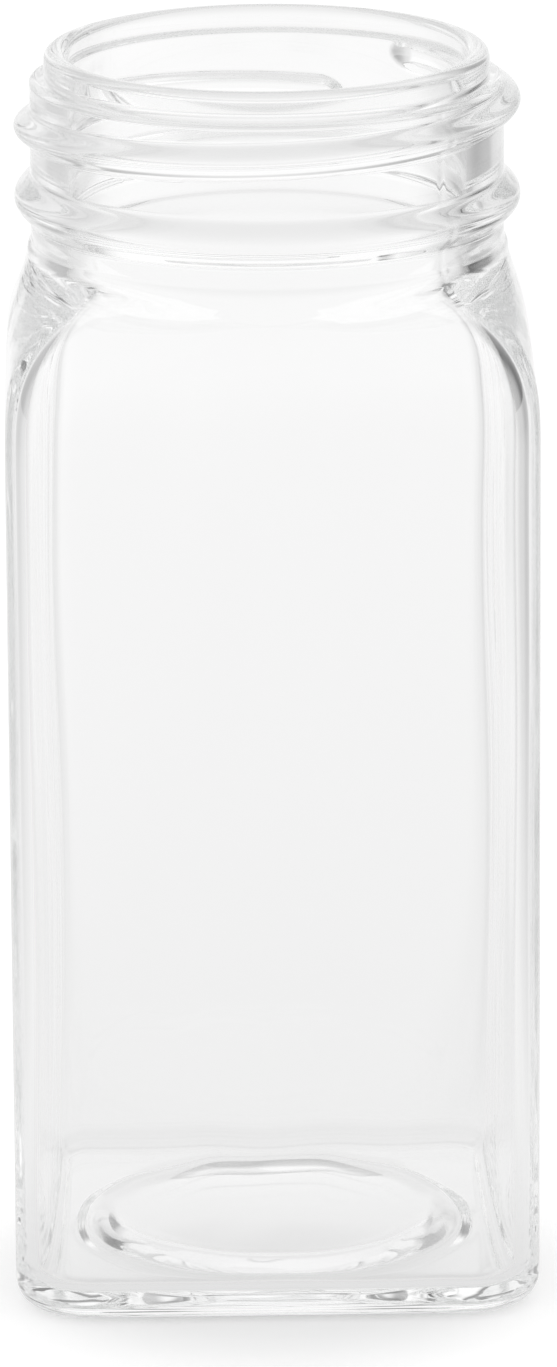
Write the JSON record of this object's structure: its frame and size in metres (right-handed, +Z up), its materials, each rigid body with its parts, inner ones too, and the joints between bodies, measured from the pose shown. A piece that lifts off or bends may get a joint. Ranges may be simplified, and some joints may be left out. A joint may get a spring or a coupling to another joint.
{
  "type": "square glass spice jar",
  "caption": "Open square jar of clear glass with round corners, a sloping shoulder and a wide round neck with a screw thread.",
  "frame": {"origin": "centre of the square base, on the surface the jar stands on", "axes": "+Z up through the mouth; +X and +Y square to the body's flat faces, with -Y the face that the picture shows"},
  "size_m": [0.0438, 0.0438, 0.1036],
  "materials": {
    "glass": "gloss"
  },
  "bodies": {
    "root": {"jar": "glass"}
  },
  "joints": []
}
